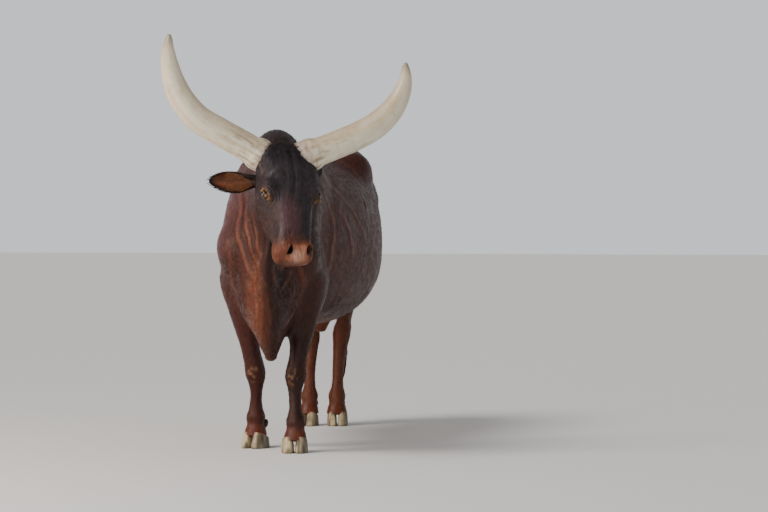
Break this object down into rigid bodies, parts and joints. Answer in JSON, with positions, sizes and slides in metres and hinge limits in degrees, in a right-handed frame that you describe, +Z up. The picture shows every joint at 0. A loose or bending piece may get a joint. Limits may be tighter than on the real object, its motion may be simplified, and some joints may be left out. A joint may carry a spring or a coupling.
{
  "type": "ankole watusi bull",
  "caption": "Standing long-horned bull, life size, head turned to its left, with a shoulder hump, hanging dewlap and cloven hooves.",
  "frame": {"origin": "on the ground under the middle of the bounding box", "axes": "+Z up, the bull faces -Y and its left side is towards +X"},
  "size_m": [1.074, 2.272, 1.9093],
  "materials": {
    "coat": "short glossy coat, mahogany to near black",
    "horn": "smooth ivory horn, satin",
    "hoof": "dull horn, streaked",
    "eye": "wet and glossy",
    "tail_hair": "long coarse hair"
  },
  "bodies": {
    "root": {"barrel": "coat", "chest": "coat", "claw_fore_left_inner": "hoof", "claw_fore_left_outer": "hoof", "claw_fore_right_inner": "hoof", "claw_fore_right_outer": "hoof", "claw_hind_left_inner": "hoof", "claw_hind_left_outer": "hoof", "claw_hind_right_inner": "hoof", "claw_hind_right_outer": "hoof", "dewclaw_fore_left_inner": "hoof", "dewclaw_fore_left_outer": "hoof", "dewclaw_fore_right_inner": "hoof", "dewclaw_fore_right_outer": "hoof", "dewclaw_hind_left_inner": "hoof", "dewclaw_hind_left_outer": "hoof", "dewclaw_hind_right_inner": "hoof", "dewclaw_hind_right_outer": "hoof", "dewlap": "coat", "ear_left": "coat", "ear_right": "coat", "eye_left": "eye", "eye_right": "eye", "forefoot_left": "coat", "forefoot_right": "coat", "foreleg_left": "coat", "foreleg_right": "coat", "head": "coat", "hindfoot_left": "coat", "hindfoot_right": "coat", "hindleg_left": "coat", "hindleg_right": "coat", "hindquarters": "coat", "horn_left": "horn", "horn_right": "horn", "hump": "coat", "neck": "coat", "tail": "coat", "tail_switch": "tail_hair"}
  },
  "joints": []
}
